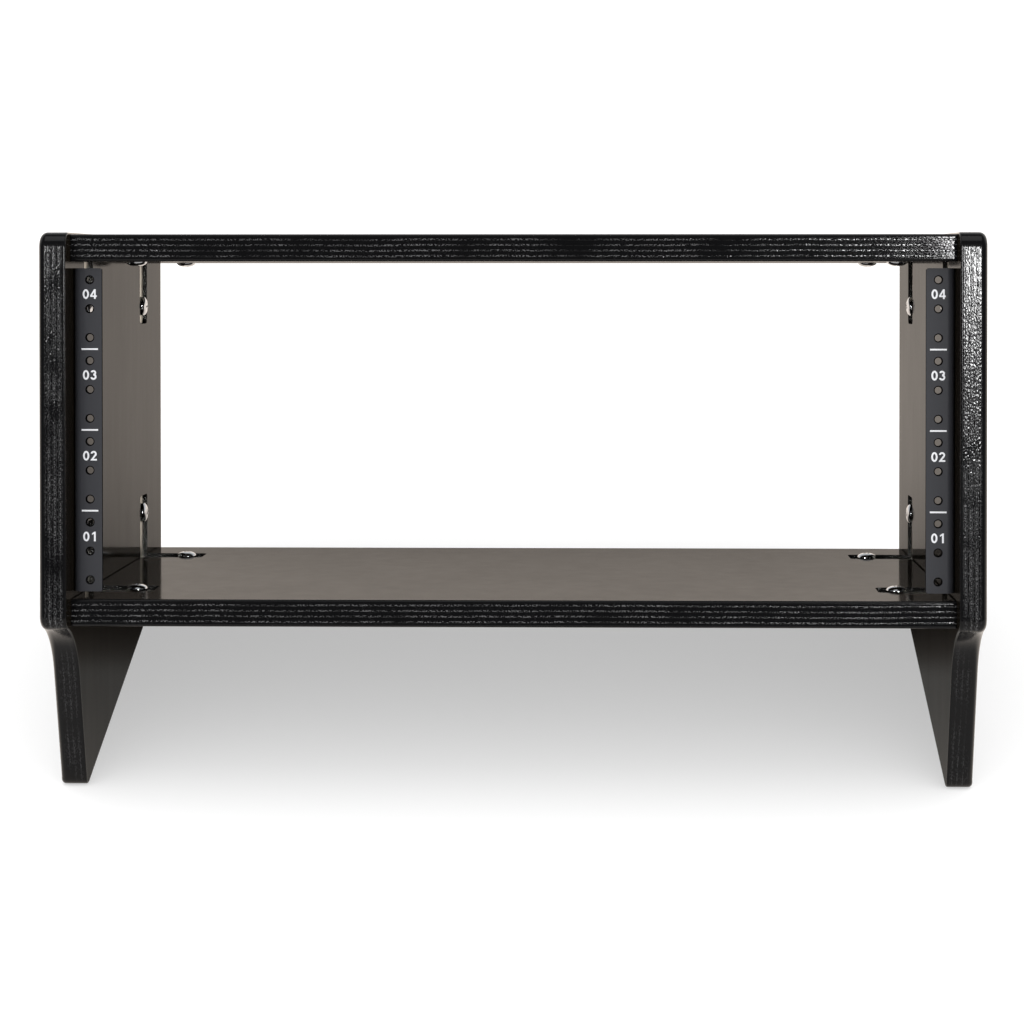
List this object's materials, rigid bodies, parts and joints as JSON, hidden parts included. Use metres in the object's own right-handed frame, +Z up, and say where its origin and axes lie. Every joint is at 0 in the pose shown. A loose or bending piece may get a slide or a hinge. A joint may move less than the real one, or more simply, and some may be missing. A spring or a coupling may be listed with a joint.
{
  "type": "slanted desktop studio rack",
  "caption": "Desktop rack of black film-faced plywood with a leaning bay for 19-inch equipment, wedge legs, steel rack rails and recessed corner brackets.",
  "frame": {"origin": "centre of the bounding box on the table plane", "axes": "+X to the right seen from the front, the front towards -Y, +Z up"},
  "size_m": [0.514, 0.3362, 0.3078],
  "materials": {
    "film_faced_plywood": "satin black-brown film, edges painted gloss black",
    "black_steel": "fine satin black powder coat",
    "zinc_steel": "zinc plate",
    "bright_screw": "bright plate"
  },
  "bodies": {
    "root": {"left_side_panel": "film_faced_plywood", "right_side_panel": "film_faced_plywood", "top_panel": "film_faced_plywood", "bottom_panel": "film_faced_plywood", "left_rack_rail": "black_steel", "right_rack_rail": "black_steel", "front_bottom_left_bracket": "zinc_steel", "front_top_left_bracket": "zinc_steel", "back_bottom_left_bracket": "zinc_steel", "back_top_left_bracket": "zinc_steel", "front_bottom_right_bracket": "zinc_steel", "front_top_right_bracket": "zinc_steel", "back_bottom_right_bracket": "zinc_steel", "back_top_right_bracket": "zinc_steel", "front_bottom_left_board_screw": "bright_screw", "front_bottom_left_panel_screw": "bright_screw", "front_top_left_board_screw": "bright_screw", "front_top_left_panel_screw": "bright_screw", "back_bottom_left_board_screw": "bright_screw", "back_bottom_left_panel_screw": "bright_screw", "back_top_left_board_screw": "bright_screw", "back_top_left_panel_screw": "bright_screw", "front_bottom_right_board_screw": "bright_screw", "front_bottom_right_panel_screw": "bright_screw", "front_top_right_board_screw": "bright_screw", "front_top_right_panel_screw": "bright_screw", "back_bottom_right_board_screw": "bright_screw", "back_bottom_right_panel_screw": "bright_screw", "back_top_right_board_screw": "bright_screw", "back_top_right_panel_screw": "bright_screw", "left_rail_screw_1": "black_steel", "left_rail_screw_2": "black_steel", "left_rail_screw_3": "black_steel", "right_rail_screw_1": "black_steel", "right_rail_screw_2": "black_steel", "right_rail_screw_3": "black_steel"}
  },
  "joints": []
}
